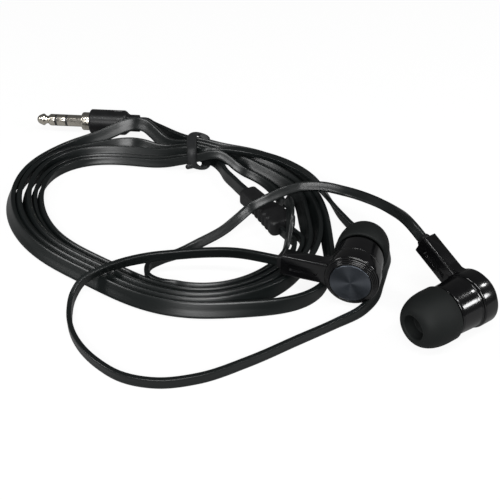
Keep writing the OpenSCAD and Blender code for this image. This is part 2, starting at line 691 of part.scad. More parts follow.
// Splitter: a flat tapered moulding with grip grooves across its edges.
module splitter() {
    wide = split_w / 2;
    slim = split_neck_w / 2;
    groove = 0.9;
    translate(split_at) rotate([0, 0, split_heading]) difference() {
        intersection() {
            translate([0, 0, -split_t / 2]) linear_extrude(split_t) polygon(concat(
                [[0, -slim + 0.8], [0.8, -slim], [split_len * 0.35, -slim - 0.1]],
                arc([split_len - 1.2, -wide + 1.2], 1.2, -90, 0),
                arc([split_len - 1.2, wide - 1.2], 1.2, 0, 90),
                [[split_len * 0.35, slim + 0.1], [0.8, slim], [0, slim - 0.8]]));
            rotate([90, 0, 90]) linear_extrude(split_len) splitter_section();
        }
        for (i = [0 : split_grooves - 1], y = [-1, 1])
            translate([split_len - 3 - i * 1.9, y * (wide + 0.35 - 0.14 * i), -split_t])
                cylinder(d = groove, h = 2 * split_t, $fn = 24);
        translate([2, 0, 0]) rotate([0, 90, 0]) cylinder(d = 2, h = split_len - 4);
    }
}

module splitter_section() {
    r = 1.1;
    for (x = [-1, 1], y = [-1, 1])
        translate([x * (split_w / 2 - r), y * (split_t / 2 - r)]) circle(r);
    square([split_w - 2 * r, split_t], center = true);
    square([split_w, split_t - 2 * r], center = true);
}

// Twisted and soldered wires inside the splitter.
module splitter_joints()
    translate(split_at) rotate([0, 0, split_heading])
        translate([2.1, 0, 0]) rotate([0, 90, 0]) cylinder(d = 1.8, h = split_len - 4.2);

// Tie: a soft wire loop bent round the bundle, its two ends twisted together.
tie_yaw = 8;                         // the loop isn't quite square to the bundle
tie_core_out = main_t / 2 + tie_gap;
tie_core_in = turn_pitch * (main_turns + 2) + arm_t / 2 + tie_gap;
module cable_tie() {
    a = tie_angle;
    d = unit(outline_point(a + 1) - outline_point(a - 1));
    mid = outline_point(a) + (tie_core_out - tie_core_in) / 2 * outward(a);
    w = tie_core_out + tie_core_in;
    h = main_w + 2 * tie_gap;
    z = tie_lift + 0.05 + main_w / 2;
    translate([mid[0], mid[1], z]) rotate([0, 0, atan2(d[1], d[0]) - tie_yaw])
        rotate([90, 0, 90]) round_loop(w, h, 1.2, tie_wire_d / 2);
    tie_tail();
}

// A loop of round wire round a w by h core with corner radius c.
module round_loop(w, h, c, r) {
    x = w / 2 - c;
    y = h / 2 - c;
    for (i = [0 : 3], sx = [[1, 1], [-1, 1], [-1, -1], [1, -1]][i][0])
        translate([sx * x, [[1, 1], [-1, 1], [-1, -1], [1, -1]][i][1] * y, 0])
            rotate([0, 0, 90 * i]) rotate_extrude(angle = 90) translate([c + r, 0]) circle(r);
    for (s = [-1, 1]) {
        translate([-x, s * (y + c + r), 0]) rotate([0, 90, 0]) cylinder(r = r, h = 2 * x);
        translate([s * (x + c + r), -y, 0]) rotate([-90, 0, 0]) cylinder(r = r, h = 2 * y);
    }
}

// The tie's two ends, crossed and pressed together, at the loop's inner side.
tail_at = [-47.4, 56.6, 1.5];
module tie_tail() {
    r = tie_wire_d * 0.44;
    for (turn = [[-58, 0], [-38, 0.5]])
        translate(tail_at + [0, 0, turn[1]]) rotate([90, 0, turn[0]]) {
            translate([0, 0, -1]) cylinder(r = r, h = 4.6);
            translate([0, 0, 3.6]) sphere(r);
        }
}

// ---------------------------------------------------------------- assembly

module ear_part(side, part) {
    if (part == "rear_shell") color(black) lay(side) rear_shell();
    if (part == "front_shell") color(black) lay(side) front_shell();
    if (part == "trim_ring") color(black) lay(side) trim_ring();
    if (part == "end_disc") color(dark_metal) lay(side) end_disc();
    if (part == "nozzle_screen") color(nickel) lay(side) nozzle_screen();
    if (part == "ear_tip") color(soft_black) lay(side) ear_tip();
    if (part == "driver_basket") color(nickel) lay(side) driver_basket();
    if (part == "driver_magnet") color(dark_metal) lay(side) driver_magnet();
    if (part == "driver_yoke") color(nickel) lay(side) driver_yoke();
    if (part == "driver_plate") color(nickel) lay(side) driver_plate();
    if (part == "voice_coil") color(copper) lay(side) voice_coil();
    if (part == "diaphragm") color("white") lay(side) diaphragm();
    if (part == "cord_gland") color(cord_black) lay(side) cord_gland();
    if (part == "cord_knot") color(copper) lay(side) cord_knot();
}

for (side = SIDES, part = EAR_PARTS)
    ear_part(side, part);

color(nickel) lay_plug() plug_tip();
color(nickel) lay_plug() plug_ring();
color(nickel) lay_plug() plug_sleeve();
color(black) lay_plug() plug_insulators();
color(black) lay_plug() plug_grip();
color(soft_black) splitter();
color(copper) splitter_joints();
color(soft_black) cable_tie();
plug_lead();
main_coil();
splitter_lead();
left_arm_coil();
left_arm_lead();
right_arm_coil();
right_arm_lead();
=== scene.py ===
"""Looks of a pair of wired in-ear earphones, laid down with the flat cord wound up and tied."""

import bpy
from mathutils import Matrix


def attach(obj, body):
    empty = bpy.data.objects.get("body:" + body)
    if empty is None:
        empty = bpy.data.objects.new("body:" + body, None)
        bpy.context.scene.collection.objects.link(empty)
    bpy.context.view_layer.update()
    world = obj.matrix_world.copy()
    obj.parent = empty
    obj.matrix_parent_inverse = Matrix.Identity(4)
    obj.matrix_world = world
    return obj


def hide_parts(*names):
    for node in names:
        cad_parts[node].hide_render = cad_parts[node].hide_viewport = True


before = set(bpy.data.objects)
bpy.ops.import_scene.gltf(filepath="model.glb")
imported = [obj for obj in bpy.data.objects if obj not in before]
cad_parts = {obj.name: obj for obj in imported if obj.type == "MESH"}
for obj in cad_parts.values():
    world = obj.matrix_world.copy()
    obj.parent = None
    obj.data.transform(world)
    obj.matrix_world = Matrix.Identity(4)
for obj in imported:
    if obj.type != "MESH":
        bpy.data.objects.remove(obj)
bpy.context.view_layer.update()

import math

import bpy
import bmesh
import numpy as np
from mathutils import Vector

# ------------------------------------------------------------------ camera
# The viewer stands on the earphones' near side and looks down on the table at 37 degrees.
MM = 0.001
camera = bpy.data.cameras.new("camera")
camera.sensor_width = 36
focal_pixels, picture_pixels = 860, 500
camera.lens = focal_pixels / picture_pixels * 36
camera.clip_start, camera.clip_end = 0.01, 50
viewer = bpy.data.objects.new("camera", camera)
bpy.context.scene.collection.objects.link(viewer)
look_at = Vector((-30.3, 20.3, 0)) * MM
sight, distance = math.radians(37), 215
viewer.location = look_at + Vector((0, -math.cos(sight), math.sin(sight))) * distance * MM
viewer.rotation_euler = (math.pi / 2 - sight, 0, 0)
bpy.context.scene.camera = viewer

# ------------------------------------------------------------------ flat cords
# The jacket is one extruded flat strip of satin black elastomer with rounded edges and two
# stranded wires inside. The wide strip runs from the plug to the splitter, a narrow one to
# each ear. They stand on edge in the wound coil.


def outline(a):
    """Points of the coil's outline at angles a, clockwise from +Y: a mean radius and five waves,
    each with its number of crests, its height and the angle of its first crest."""
    mean, middle = 39.2, (-53.3, 32.3)
    waves = np.array([[1, 2.7, 40], [2, 5.5, 120], [3, 1.9, 54], [4, 1.1, 45], [5, 0.4, 32]])
    k, high, crest = waves.T[:, :, None]
    r = mean + (high * np.cos(np.radians(k * (a - crest)))).sum(0)
    t = np.radians(a)
    return np.stack([middle[0] + r * np.sin(t), middle[1] + r * np.cos(t)], 1)


def outward(a):
    """Unit vectors square to the outline at angles a, away from its middle."""
    d = outline(a + 1) - outline(a - 1)
    return np.stack([-d[:, 1], d[:, 0]], 1) / np.linalg.norm(d, axis=1)[:, None]


def bells(a, rows):
    """Sum of bell curves over angle: each row gives the middle, the height and the half width."""
    at, high, wide = np.array(rows).T[:, :, None]
    return (high * np.exp(-(((a - at) / wide) ** 2))).sum(0)


# The strips' widths and thicknesses, the gap under them, and how high the tie's wire lifts them.
MAIN_WIDE, MAIN_THICK = 3.8, 1.35
ARM_WIDE, ARM_THICK = 2.5, 1.2
ON_TABLE, IN_TIE = 0.05, 1.9
# The tie's angle, the distance from turn to turn, and the angles at which the cords leave the coil.
TIE_ANGLE, PITCH = 11, 1.7
MAIN_END = TIE_ANGLE + 360 * 3
LEFT_END = MAIN_END + 360
RIGHT_END = LEFT_END + 360 + 165
# Bells by which single turns stand off their lane, outwards when positive, or climb over others.
stand_offs = [[128, 6, 17], [278, 0.4, 26], [326, 2.2, 11], [343, 6.8, 11], [410, -1.3, 20],
              [638, 0.4, 26], [703, 3.4, 11], [770, -2.7, 20], [812, -1.4, 14], [998, -0.4, 26],
              [1358, -0.4, 26], [1718, -0.4, 26]]
lifts = [[345, 4, 13], [1825, 4.2, 10]]


def spiral(a, width):
    """Rows of x, y, height and lean along the wound coil at angles a, for a strip of a width.

    The lane moves inwards by one pitch a turn, the strip stands on the table on its edge, and
    it is lifted in the tie, where one turn climbs the plug, and over the splitter's lead and
    end. It leans away from the near side, by a softened square wave of the angle, and stands
    up again in the tie. A narrow strip keeps a little further in where it leans most."""
    most, softness, near = 34, 2.6, 40
    upright, lifted, splitter_end, crossing = 14, 10, LEFT_END + 442.5, 12
    a = np.atleast_1d(np.asarray(a, float))
    facing = np.tanh(softness * np.cos(np.radians(a - near)))
    from_tie = (a - TIE_ANGLE + 180) % 360 - 180
    lean = -most * facing * (1 - 0.65 * np.exp(-((from_tie / upright) ** 2)))
    tucked = 0.13 * (1 + facing) if width < MAIN_WIDE else 0
    lane = bells(a, stand_offs) - PITCH * (a - TIE_ANGLE) / 360 - tucked
    p = outline(a) + lane[:, None] * outward(a)
    z = width / 2 + ON_TABLE + IN_TIE * np.exp(-((from_tie / lifted) ** 2)) + bells(a, lifts)
    over_splitter = 5.4 * np.exp(-(((a - splitter_end) / crossing) ** 4))
    return np.column_stack([p, z + over_splitter, lean])


def over(angle, off, z, lean):
    """One row of a route at an angle of the coil, a distance off its outline."""
    a = np.array([float(angle)])
    return np.column_stack([outline(a) + off * outward(a), [z], [lean]])


def straight_on(p, q, d):
    """The row a distance d past p on the line that comes from q, with half of p's lean."""
    v = p[0, :3] - q[0, :3]
    return np.append(p[0, :3] + d * v / np.linalg.norm(v), p[0, 3] / 2)[None]


def ahead(a, width, d):
    """The row a distance d before the coil's row at an angle, straight on."""
    return straight_on(spiral(a, width), spiral(a + 15, width), d)


def beyond(a, width, d):
    """The row a distance d after the coil's row at an angle, straight on."""
    return straight_on(spiral(a, width), spiral(a - 15, width), d)


def along(route, step):
    """A smooth curve through a route's rows, cut into even steps.

    Each span is a cubic. Its end slopes are the means of the slopes on both sides of a row,
    each weighted by the length of the other span."""
    p = np.asarray(route, float)
    gap = np.linalg.norm(np.diff(p[:, :3], axis=0), axis=1)
    slope = np.diff(p, axis=0) / gap[:, None]
    g0, g1 = gap[:-1, None], gap[1:, None]
    inner = (g1 * slope[:-1] + g0 * slope[1:]) / (g0 + g1)
    m = np.vstack([slope[:1], inner, slope[-1:]])
    n = np.maximum(np.ceil(gap / step * 4).astype(int), 2)
    i = np.repeat(np.arange(len(gap)), n)
    start = np.repeat(np.cumsum(n) - n, n)
    t = ((np.arange(n.sum()) - start) / n[i])[:, None]
    h = gap[i][:, None]
    q = ((2 * t**3 - 3 * t**2 + 1) * p[i] + (t**3 - 2 * t**2 + t) * h * m[i]
         + (3 * t**2 - 2 * t**3) * p[i + 1] + (t**3 - t**2) * h * m[i + 1])
    q = np.vstack([q, p[-1:]])
    s = np.append(0, np.cumsum(np.linalg.norm(np.diff(q[:, :3], axis=0), axis=1)))
    even = np.linspace(0, s[-1], int(round(s[-1] / step)) + 1)
    return np.column_stack([np.interp(even, s, q[:, c]) for c in range(4)])


def strip_axes(path):
    """Direction, width axis and thickness axis at each row. A level axis and an upright one are
    taken square to the direction, and the width axis turns from the upright one at lean 0, where
    the strip is on edge, to the level one at lean 90, where it is flat."""
    t = np.gradient(path[:, :3], axis=0)
    t /= np.linalg.norm(t, axis=1)[:, None]
    s = np.cross(t, [0, 0, 1])
    s /= np.linalg.norm(s, axis=1)[:, None]
    u = np.cross(s, t)
    a = np.radians(path[:, 3])[:, None]
    w = np.cos(a) * u + np.sin(a) * s
    return t, w, np.cross(t, w)


def rounded(points, r, n=6, closed=True):
    """A polygon with its corners rounded: each corner becomes a parabola that starts and ends
    r away along its two sides, or at 0.45 of the shorter side."""
    p = np.asarray(points, float)
    a, b = np.roll(p, 1, 0) - p, np.roll(p, -1, 0) - p
    la, lb = np.linalg.norm(a, axis=1), np.linalg.norm(b, axis=1)
    r = np.minimum(np.broadcast_to(np.asarray(r, float), la.shape), 0.45 * np.minimum(la, lb))
    if not closed:
        r = r * np.r_[0, np.ones(len(p) - 2), 0]
    t = np.linspace(0, 1, n)[None, :, None]
    start = (p + a / la[:, None] * r[:, None])[:, None]
    end = (p + b / lb[:, None] * r[:, None])[:, None]
    q = ((1 - t) ** 2 * start + 2 * t * (1 - t) * p[:, None] + t**2 * end).reshape(-1, p.shape[1])
    keep = np.append(True, np.linalg.norm(np.diff(q, axis=0), axis=1) > 1e-5)
    return q[keep]


def skin(name, grid, joined=False, sharp=40):
    """A closed surface over a grid of points in millimetres: rings one after another, each ring
    closed on itself. Its ends are closed by fans, or the last ring joins the first. Its UV map
    counts millimetres along and round the rings. Faces are turned so that its volume is positive."""
    k, m = grid.shape[:2]
    idx = np.arange(k * m).reshape(k, m)
    right = np.roll(idx, -1, 1)
    rows = np.arange(k if joined else k - 1)
    after = (rows + 1) % k
    quads = np.stack([idx[rows], right[rows], right[after], idx[after]], 2).reshape(-1, 4)
    points = grid.reshape(-1, 3)
    tris = np.zeros((0, 3), int)
    if not joined:
        points = np.vstack([points, grid[0].mean(0), grid[-1].mean(0)])
        tris = np.vstack([np.column_stack([right[0], idx[0], np.full(m, k * m)]),
                          np.column_stack([idx[-1], right[-1], np.full(m, k * m + 1)])])
    each = np.vstack([quads[:, [0, 1, 2]], quads[:, [0, 2, 3]], tris])
    a, b, c = points[each[:, 0]], points[each[:, 1]], points[each[:, 2]]
    if np.einsum("ij,ij->i", a, np.cross(b, c)).sum() < 0:
        quads, tris = quads[:, ::-1], tris[:, ::-1]
    mesh = bpy.data.meshes.new(name)
    mesh.from_pydata((points * MM).tolist(), [], quads.tolist() + tris.tolist())

    along_mm = np.append(0, np.cumsum(np.linalg.norm(np.diff(grid, axis=0), axis=2).mean(1)))
    round_mm = np.append(0, np.cumsum(np.linalg.norm(np.roll(grid, -1, 1) - grid, axis=2).mean(0)))
    # The last faces before a seam count on past it, so that no face runs back to zero.
    vert = np.zeros(len(mesh.loops), int)
    mesh.loops.foreach_get("vertex_index", vert)
    row, col = np.minimum(vert // m, k - 1), vert % m
    corners = np.zeros(len(mesh.polygons), int)
    mesh.polygons.foreach_get("loop_total", corners)
    owner = np.repeat(np.arange(len(corners)), corners)
    last_row, last_col = np.zeros(len(corners), int), np.zeros(len(corners), int)
    np.maximum.at(last_row, owner, row)
    np.maximum.at(last_col, owner, col)
    past_seam = (col == 0) & (last_col[owner] == m - 1)
    past_join = (row == 0) & (last_row[owner] == k - 1) & joined
    u = np.where(past_join, along_mm[-1] + 0.1, along_mm[row])
    v = round_mm[np.where(past_seam, m, col)]
    uv = mesh.uv_layers.new(name="run")
    uv.data.foreach_set("uv", np.column_stack([u, v]).astype(np.float32).ravel())

    mesh.polygons.foreach_set("use_smooth", np.ones(len(mesh.polygons), bool))
    mesh.set_sharp_from_angle(angle=math.radians(sharp))
    piece = bpy.data.objects.new(name, mesh)
    bpy.context.scene.collection.objects.link(piece)
    return piece


class Wire:
    """A shader socket that takes part in Python expressions: each operator adds a Math node."""

    def __init__(self, tree, socket):
        self.tree, self.socket = tree, socket

    def maths(self, operation, *values):
        """A Math node of an operation, its inputs sockets or plain numbers."""
        node = self.tree.nodes.new("ShaderNodeMath")
        node.operation = operation
        for slot, value in zip(node.inputs, values):
            if isinstance(value, Wire):
                self.tree.links.new(value.socket, slot)
            else:
                slot.default_value = value
        return Wire(self.tree, node.outputs[0])

    def __add__(self, other): return self.maths("ADD", self, other)
    def __radd__(self, other): return self.maths("ADD", other, self)
    def __mul__(self, other): return self.maths("MULTIPLY", self, other)
    def __rmul__(self, other): return self.maths("MULTIPLY", other, self)
    def __pow__(self, other): return self.maths("POWER", self, other)
    def sin(self): return self.maths("SINE", self)


class Nodes:
    """A node tree, of a material or of the world, that nodes are added to."""

    def __init__(self, tree):
        self.tree = tree

    def node(self, kind, settings=None, values=None, out=0):
        """Adds a node of a type, makes its settings, then fills its sockets by name or number."""
        node = self.tree.nodes.new(kind)
        for key, value in (settings or {}).items():
            setattr(node, key, value)
        for key, value in (values or {}).items():
            slot = node.inputs[key]
            if isinstance(value, Wire):
                self.tree.links.new(value.socket, slot)
            elif isinstance(value, tuple) and len(slot.default_value) == 4:
                slot.default_value = (*value, 1)
            else:
                slot.default_value = value
        return Wire(self.tree, node.outputs[out])


class Finish(Nodes):
    """A named material with one Principled shader, whose fixed numbers are set by keyword."""

    def __init__(self, name, **fixed):
        self.material = bpy.data.materials.new(name)
        self.material.use_nodes = True
        super().__init__(self.material.node_tree)
        self.shader = self.tree.nodes["Principled BSDF"]
        for key, value in fixed.items():
            self.shader.inputs[key.replace("_", " ")].default_value = value

    def place(self):
        """Object coordinates, in metres."""
        return self.node("ShaderNodeTexCoord", out="Object")

    def run(self):
        """The piece's own UV map, in millimetres."""
        return self.node("ShaderNodeUVMap", {"uv_map": "run"})

    def noise(self, where, scale, detail=3.0, stretch=None):
        """Soft noise between 0 and 1, along a place that may be stretched first."""
        if stretch:
            where = self.node("ShaderNodeVectorMath", {"operation": "MULTIPLY"}, {0: where, 1: stretch})
        inputs = {"Vector": where, "Scale": scale, "Detail": detail}
        return self.node("ShaderNodeTexNoise", None, inputs)

    def blend(self, mask, dark, light):
        """A colour between two, by a mask."""
        return self.node("ShaderNodeMix", {"data_type": "RGBA"}, {0: mask, 6: dark, 7: light}, out=2)

    def bump(self, height, strength, depth):
        """Bends the surface's normal by a height that stands for a depth in metres."""
        inputs = {"Strength": strength, "Distance": depth, "Height": height}
        return self.feed("Normal", self.node("ShaderNodeBump", None, inputs))

    def feed(self, socket, wire):
        """Joins a wire to a socket of the shader."""
        self.tree.links.new(wire.socket, self.shader.inputs[socket])
        return self


jacket = Finish("cord_jacket", Roughness=0.32, IOR=1.5, Specular_IOR_Level=0.4)
grain = jacket.noise(jacket.place(), 9000, 2)
smear = jacket.noise(jacket.run(), 1, 2, (0.05, 0.5, 1))
jacket.feed("Base Color", jacket.blend(smear, (0.0025, 0.0034, 0.0034), (0.006, 0.0078, 0.0078)))
jacket.feed("Roughness", 0.24 + smear * 0.12 + grain * 0.04)
jacket.bump(grain * 0.4 + jacket.noise(jacket.run(), 1, 2, (0.15, 1.2, 1)), 0.12, 0.00003)


def strip(name, path, width, thick):
    """A flat strip along a path: a rounded oblong, slightly hollow in the middle of each face."""
    w, t = width / 2, thick / 2
    bead, side, hollow = 0.42, 0.86, 0.93
    oblong = rounded([[w, t * side], [w - bead, t], [0, t * hollow], [bead - w, t], [-w, t * side],
                      [-w, -t * side], [bead - w, -t], [0, -t * hollow], [w - bead, -t], [w, -t * side]],
                     0.34, 5)
    _, across, up = strip_axes(path)
    grid = path[:, None, :3] + oblong[None, :, :1] * across[:, None] + oblong[None, :, 1:] * up[:, None]
    piece = skin(name, grid)
    piece.data.materials.append(jacket.material)
    return piece


PLUG_AT, PLUG_TURN = np.array([-81, 80.4, 3.7]), math.radians(-5)
PLUG_WAY = np.array([math.cos(PLUG_TURN), math.sin(PLUG_TURN), 0])
SPLIT_AT, SPLIT_TURN = np.array([-31.2, 42.4, 2.2]), math.radians(-57)
SPLIT_WAY = np.array([math.cos(SPLIT_TURN), math.sin(SPLIT_TURN), 0])
SPLIT_SIDE = np.array([-SPLIT_WAY[1], SPLIT_WAY[0], 0])
SPLIT_EXIT = SPLIT_AT + 18 * SPLIT_WAY
tail_end = PLUG_AT + 17.6 * PLUG_WAY


def flat_rows(points):
    """Rows with no lean for points."""
    return [np.append(p, 0)[None] for p in points]


def listed(rows):
    """Rows of x, y, height and lean, each an array of its own."""
    return [np.array([row], float) for row in rows]


main_path = along(np.vstack(
    flat_rows([tail_end, tail_end + 2 * PLUG_WAY])
    + listed([[-59.2, 76.6, 3.6, 0], [-56, 74, 3.5, 0], [-53.2, 71.4, 3.6, 0], [-50.8, 69.2, 3.8, 0]])
    + [ahead(TIE_ANGLE, MAIN_WIDE, 1.5), spiral(np.arange(TIE_ANGLE, MAIN_END + 1, 4), MAIN_WIDE),
       beyond(MAIN_END, MAIN_WIDE, 1.5), over(16, -4.9, 2.6, 0), over(21, -5.6, 1.95, 0),
       over(25.5, -8.4, 1.95, 0)]
    + listed([[-36.8, 52.2, 1.95, 0], [-34.7, 48.4, 2.05, 0]])
    + flat_rows([SPLIT_AT - 2.6 * SPLIT_WAY, SPLIT_AT])), 0.8)


def way_out(d, s):
    """A row on an arm's way out of the splitter, d along it and on side s."""
    p = SPLIT_EXIT + d * SPLIT_WAY + s * 1.1 * SPLIT_SIDE
    return np.array([[p[0], p[1], 1.3, 0]])


EAR_AT = {"left": (np.array([-7.5, -0.6, 7]), -17.4, -2.9, 181.3),
          "right": (np.array([20.1, -4.7, 6.4]), 124.8, 0, -22)}


def lay(side, p):
    """Points of an earpiece, drawn with its nozzle along +Z and its stem along +X, where it lies:
    turned about its own axis, tipped until that axis is nearly level, turned to its heading, and
    moved to its place."""
    at, heading, rise, turn = EAR_AT[side]

    def turned(p, a, i, j):
        """Points turned by an angle in degrees from axis i towards axis j."""
        c, s = math.cos(math.radians(a)), math.sin(math.radians(a))
        q = np.array(p, float)
        q[..., i], q[..., j] = p[..., i] * c - p[..., j] * s, p[..., i] * s + p[..., j] * c
        return q
    return at + turned(turned(turned(np.asarray(p, float), turn, 0, 1), rise - 90, 1, 2), heading, 0, 1)


def into_gland(side, lean):
    """The last two rows of an arm, square to the gland in the stem's end."""
    gland_end, gland_high = 17.8, 2
    return [np.append(lay(side, [gland_end + d, 0, gland_high]), lean)[None] for d in (2.4, 0)]


left_path = along(np.vstack(
    [way_out(0, 1), way_out(2.5, 1), way_out(5.5, 1),
     spiral(np.arange(LEFT_END - 255, LEFT_END + 1, 5), ARM_WIDE), beyond(LEFT_END, ARM_WIDE, 1.5),
     over(17, -7, 5.3, 30), over(24, -6.2, 5.8, 70), over(31, -5.2, 5.6, 85), over(39, -4, 5.2, 88),
     over(49, -2.6, 5, 88), over(60, -1, 5, 88), over(70, 0.6, 4.9, 75)]
    + listed([
        [-9.6, 38, 3.6, 40], [-6.4, 32, 2, 5], [-3, 27, 1.3, 0], [0.8, 24.4, 1.3, 0], [3.4, 20.8, 1.3, 0],
        [3.5, 16.4, 1.3, 20], [1.9, 11.3, 1.3, 40], [0.1, 5.7, 1.3, 45], [-1.6, 0.6, 1.3, 40],
        [-4.9, -4, 1.3, 20], [-11.5, -8.7, 1.3, 0], [-20, -14, 1.3, 0], [-30.5, -20.5, 1.3, 0],
        [-41, -25.5, 1.3, 0], [-49.5, -26.8, 1.3, 0], [-57, -25, 1.3, 0], [-62.5, -21, 1.3, 0],
        [-66.5, -16.5, 1.3, 0], [-69.5, -11, 1.3, 0], [-71, -5, 1.5, 0], [-70.8, -0.5, 2.6, 0],
        [-69, 2.5, 4.4, 10], [-65.5, 4.9, 5.4, 20], [-60.5, 7.7, 5.6, 10], [-54, 10, 5.6, 0],
        [-48, 10.9, 5.7, 0], [-41, 11.2, 6.1, 0], [-34, 10.2, 6.8, 0]])
    + into_gland("left", 0)), 0.7)

right_path = along(np.vstack(
    [way_out(0, -1), way_out(2.5, -1), way_out(5.5, -1),
     spiral(np.arange(RIGHT_END - 420, RIGHT_END + 1, 5), ARM_WIDE), beyond(RIGHT_END, ARM_WIDE, 1.5)]
    + listed([
        [-51.9, 5.9, 1.3, 0], [-54.7, 8.4, 1.3, 0], [-54.8, 12, 1.3, 0], [-51.9, 14.8, 1.3, 0],
        [-47.6, 17.2, 1.4, -14], [-43, 20.5, 1.9, -32], [-36.6, 25.1, 3, -38], [-33.2, 28, 4.4, -38],
        [-30, 31, 5.6, -36], [-25.6, 32.6, 7.3, -30], [-21, 34.4, 8.5, -40], [-17, 36, 8.6, -50],
        [-12, 36.1, 8.7, -53], [-6, 34, 8.6, -53], [-0.3, 28.2, 10, -45], [4, 21.5, 11.5, -30]])
    + into_gland("right", -20)), 0.7)

main_cord = strip("main_cord", main_path, MAIN_WIDE, MAIN_THICK)
left_cord = strip("left_cord", left_path, ARM_WIDE, ARM_THICK)
right_cord = strip("right_cord", right_path, ARM_WIDE, ARM_THICK)
for piece, stands_for in ((main_cord, ("plug_lead", "main_coil", "splitter_lead")),
                          (left_cord, ("left_arm_coil", "left_arm_lead")),
                          (right_cord, ("right_arm_coil", "right_arm_lead"))):
    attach(piece, "main")
    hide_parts(*stands_for)

# ------------------------------------------------------------------ ear housings
# Each housing is two gloss black ABS mouldings: a rear band with the stem on its side, and a
# front shell with a lipped nozzle, pushed into it and glued.
gloss = Finish("gloss_moulding", Roughness=0.14, IOR=1.5, Specular_IOR_Level=0.45)
haze = gloss.noise(gloss.place(), 420, 4)
gloss.feed("Base Color", gloss.blend(haze, (0.0015, 0.0015, 0.0018), (0.004, 0.004, 0.0044)))
gloss.feed("Roughness", 0.1 + haze * 0.1)
gloss.bump(gloss.noise(gloss.place(), 900, 2), 0.25, 0.00003)


def turned_piece(name, profile, side, finish, sides=144, joined=True):
    """A profile of radius and height, in millimetres, turned about an earpiece's own axis."""
    a = np.linspace(0, 2 * np.pi, sides, endpoint=False)
    r, z = profile[:, 0, None], profile[:, 1, None]
    grid = np.stack([r * np.cos(a), r * np.sin(a), z + 0 * a], 2)
    piece = skin(name, lay(side, grid), joined)
    piece.data.materials.append(finish.material)
    return piece


def softened_copy(name, node, width):
    """A carried-over solid with its seams welded, its flat faces joined and its edges rounded."""
    weld, level, corner = 2e-6, math.radians(0.6), math.radians(34)
    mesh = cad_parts[node].data.copy()
    mesh.name = name
    solid = bmesh.new()
    solid.from_mesh(mesh)
    bmesh.ops.remove_doubles(solid, verts=solid.verts, dist=weld)
    bmesh.ops.dissolve_limit(solid, angle_limit=level, verts=solid.verts, edges=solid.edges)
    solid.to_mesh(mesh)
    solid.free()
    mesh.materials.clear()
    mesh.polygons.foreach_set("use_smooth", np.ones(len(mesh.polygons), bool))
    mesh.set_sharp_from_angle(angle=math.radians(30))
    piece = bpy.data.objects.new(name, mesh)
    bpy.context.scene.collection.objects.link(piece)
    edge = piece.modifiers.new("rounded_edges", "BEVEL")
    edge.width, edge.segments = width * MM, 3
    edge.limit_method, edge.angle_limit = "ANGLE", corner
    edge.use_clamp_overlap = True
    return piece


# From the spigot in the band along the outside to the nozzle's lip and mouth, and back inside.
barrel_profile = rounded(
    [[5.1, 2.4], [5.45, 2.4], [5.45, 4.05], [5.92, 4.05], [6.15, 4.25], [6.15, 4.42], [5.98, 4.6],
     [5.98, 5.5], [5.8, 9.5], [5.66, 10.0], [5.1, 10.2], [2.75, 10.2], [2.2, 10.7], [2.2, 12.8],
     [2.55, 13.0], [2.55, 13.65], [2.2, 14.0], [1.75, 14.0], [1.75, 13.5], [1.5, 13.5], [1.5, 9.2],
     [4.3, 9.2], [5.1, 8.4]], 0.14, 5)

for side in ("left", "right"):
    shell = softened_copy(side + "_band", side + "_rear_shell", 0.16)
    shell.data.materials.append(gloss.material)
    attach(shell, "main")
    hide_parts(side + "_rear_shell")
    barrel = turned_piece(side + "_barrel", barrel_profile, side, gloss)
    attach(barrel, "main")
    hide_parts(side + "_front_shell")

# ------------------------------------------------------------------ rear trim
# A stepped gloss ring closes the band, and in it sits a disc of dark anodised aluminium, spun
# on a lathe so that its face keeps fine concentric marks.
disc_profile = rounded([[0.06, -0.98], [1.2, -1.0], [4.3, -1.08], [4.45, -1.1], [4.66, -1.1], [4.8, -0.96],
                        [4.8, -0.35], [3.95, -0.35], [3.95, 0.25], [0.06, 0.25]], 0.08, 4, closed=False)
spun = Finish("spun_disc", Metallic=1.0, Roughness=0.34)
# The run's first value goes along the profile and the second round it, at its mean radius. Two pairs of
# bright wedges, from high powers of a sine of twice the turn, are painted highlights in the base colour:
# they stand in for the sheen of a spun face and stay where they are however the light falls.
mark = spun.node("ShaderNodeSeparateXYZ", None, {0: spun.run()})
turn = spun.node("ShaderNodeSeparateXYZ", None, {0: spun.run()}, 1) * (1 / disc_profile[:, 0].mean())
painted_highlight_wedge = ((turn * 2 + 2.2).sin() * 0.5 + 0.5) ** 6
painted_side_highlight = ((turn * 2 + 5.3).sin() * 0.5 + 0.5) ** 10
ringing = spun.noise(spun.run(), 1, 2, (14, 0.05, 1))
# The base colour mixes the turning marks' own tone with the painted highlight wedges.
marks_and_painted_highlight = ringing * 0.35 + painted_highlight_wedge * 0.6 + painted_side_highlight * 0.3
spun.feed("Base Color", spun.blend(marks_and_painted_highlight, (0.035, 0.041, 0.05), (0.16, 0.175, 0.2)))
spun.feed("Roughness", 0.28 + ringing * 0.16)
spun.bump((mark * 70).sin() * 0.3 + ringing, 0.6, 0.00003)

# Three steps, each narrower and further back, and then the seats of the disc and of the band.
wide, inwards, down = 5.85, 0.29, 0.3
steps = []
for i in range(3):
    steps += [[wide - i * inwards, -i * down], [wide - i * inwards, -(i + 0.75) * down],
              [wide - (i + 0.35) * inwards, -(i + 1) * down]]
ring_profile = rounded(
    steps + [[4.85, -0.9], [4.85, -0.3], [4.05, -0.3], [4.05, 1.4], [5.45, 1.4], [5.45, 0]], 0.12, 6)

for side in ("left", "right"):
    ring = turned_piece(side + "_ring", ring_profile, side, gloss)
    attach(ring, "main")
    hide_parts(side + "_trim_ring")
    disc = turned_piece(side + "_disc", disc_profile, side, spun, joined=False)
    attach(disc, "main")
    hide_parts(side + "_end_disc")

